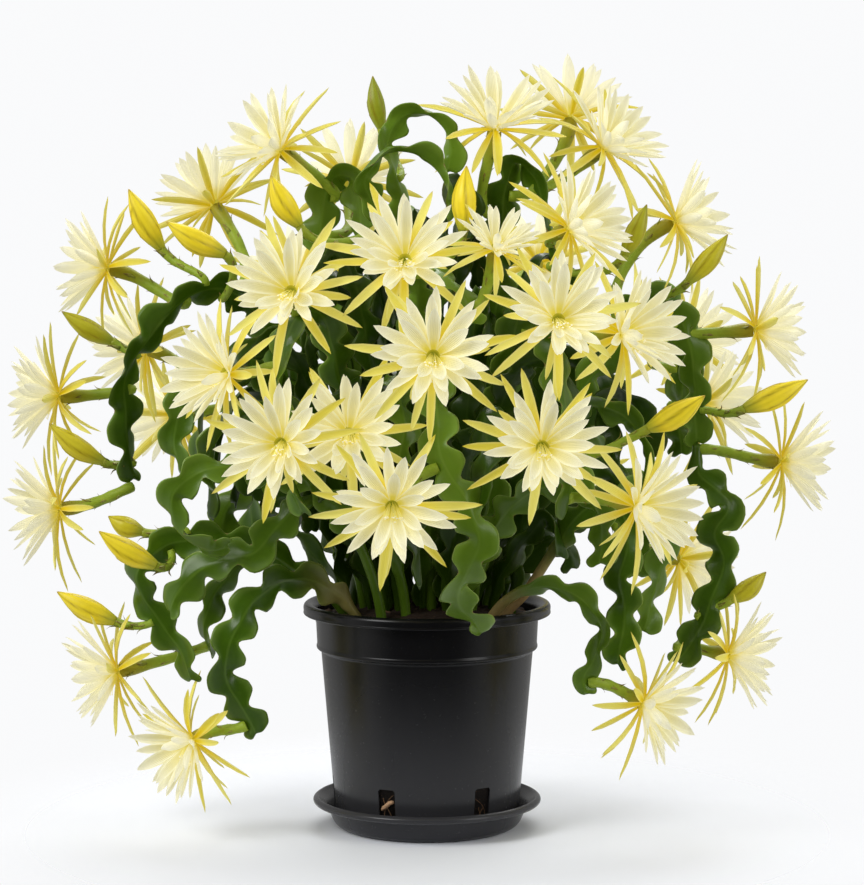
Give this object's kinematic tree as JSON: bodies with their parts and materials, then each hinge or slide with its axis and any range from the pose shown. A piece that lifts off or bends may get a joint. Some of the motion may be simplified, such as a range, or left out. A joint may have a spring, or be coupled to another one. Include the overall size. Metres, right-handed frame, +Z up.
{
  "type": "potted orchid cactus",
  "caption": "Flowering orchid cactus with flat scalloped stems and cream and yellow blooms, in a black nursery pot on a saucer.",
  "frame": {"origin": "centre of the saucer's underside, on the pot's axis", "axes": "+Z up, -Y the plant's front, +X to its right as seen from the front"},
  "size_m": [0.8242, 0.7676, 0.7843],
  "materials": {
    "black_plastic": "satin black polypropylene",
    "potting_mix": "rough bark chips and fibre",
    "stem": "smooth waxy green stem tissue",
    "bloom": "thin satin tepals, cream and lemon yellow"
  },
  "bodies": {
    "root": {"saucer": "black_plastic", "pot": "black_plastic", "potting_mix": "potting_mix", "stem_front_arch": "stem", "stem_front_left": "stem", "stem_front_right": "stem", "stem_centre": "stem", "stem_top_left": "stem", "stem_left_arch": "stem", "stem_left_hanging": "stem", "stem_left_rim": "stem", "stem_left_curl": "stem", "stem_right_woody": "stem", "stem_right_rim": "stem", "stem_right_arch": "stem", "stem_right_back": "stem", "stem_top_right": "stem", "stem_back_left": "stem", "stem_left_back": "stem", "stem_back_right": "stem", "stem_low_left": "stem", "stem_low_right": "stem", "bloom_01": "bloom", "bloom_02": "bloom", "bloom_03": "bloom", "bloom_04": "bloom", "bloom_05": "bloom", "bloom_06": "bloom", "bloom_07": "bloom", "bloom_08": "bloom", "bloom_09": "bloom", "bloom_10": "bloom", "bloom_11": "bloom", "bloom_12": "bloom", "bloom_13": "bloom", "bloom_14": "bloom", "bloom_15": "bloom", "bloom_16": "bloom", "bloom_17": "bloom", "bloom_18": "bloom", "bloom_19": "bloom", "bloom_20": "bloom", "bloom_21": "bloom", "bloom_22": "bloom", "bloom_23": "bloom", "bloom_24": "bloom", "bloom_25": "bloom", "bloom_26": "bloom", "bloom_27": "bloom", "bloom_28": "bloom", "bloom_29": "bloom", "bloom_30": "bloom", "bloom_31": "bloom", "bloom_32": "bloom", "bloom_33": "bloom", "bloom_34": "bloom", "bloom_35": "bloom", "bloom_36": "bloom", "bloom_37": "bloom", "bloom_38": "bloom"}
  },
  "joints": []
}
